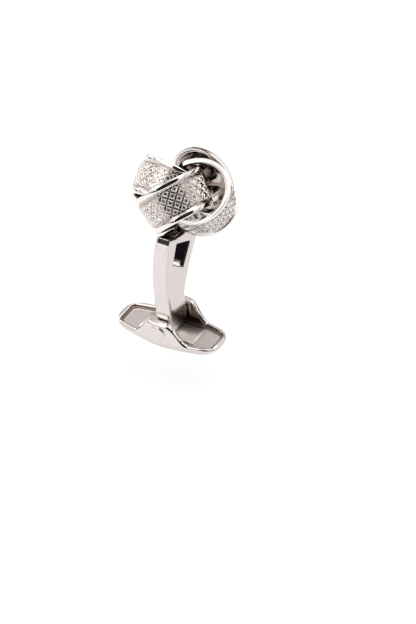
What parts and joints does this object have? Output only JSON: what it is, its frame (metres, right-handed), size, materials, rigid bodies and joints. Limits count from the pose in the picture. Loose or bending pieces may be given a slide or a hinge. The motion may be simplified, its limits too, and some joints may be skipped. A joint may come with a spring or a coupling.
{
  "type": "cufflink",
  "caption": "Silver knot cufflink: linked patterned bands on a flat windowed post, with a boat-shaped toggle that swivels on a riveted pin.",
  "frame": {"origin": "middle of the small flat on the underside of the toggle's keel, under the pin", "axes": "+Z from the toggle's keel up through the pin to the knot; +X along the toggle's length; Y along the pin, with the knot's centre to the +Y side"},
  "size_m": [0.017, 0.0172, 0.0286],
  "materials": {
    "plated_silver": "bright rhodium-plated brass, polished",
    "spring_steel": "plain bright spring strip"
  },
  "bodies": {
    "link": {"post": "plated_silver", "knot_seat": "plated_silver", "knot_band_1": "plated_silver", "knot_band_2": "plated_silver", "knot_band_3": "plated_silver", "knot_band_4": "plated_silver"},
    "toggle": {"toggle_shell": "plated_silver", "leaf_spring": "spring_steel", "pivot_pin": "plated_silver"}
  },
  "joints": [
    {"name": "toggle_swivel", "type": "hinge", "parent": "link", "child": "toggle", "pos_m": [0, 0, 0.0034], "axis": [0, 1, 0], "range_deg": [-90, 90]}
  ]
}
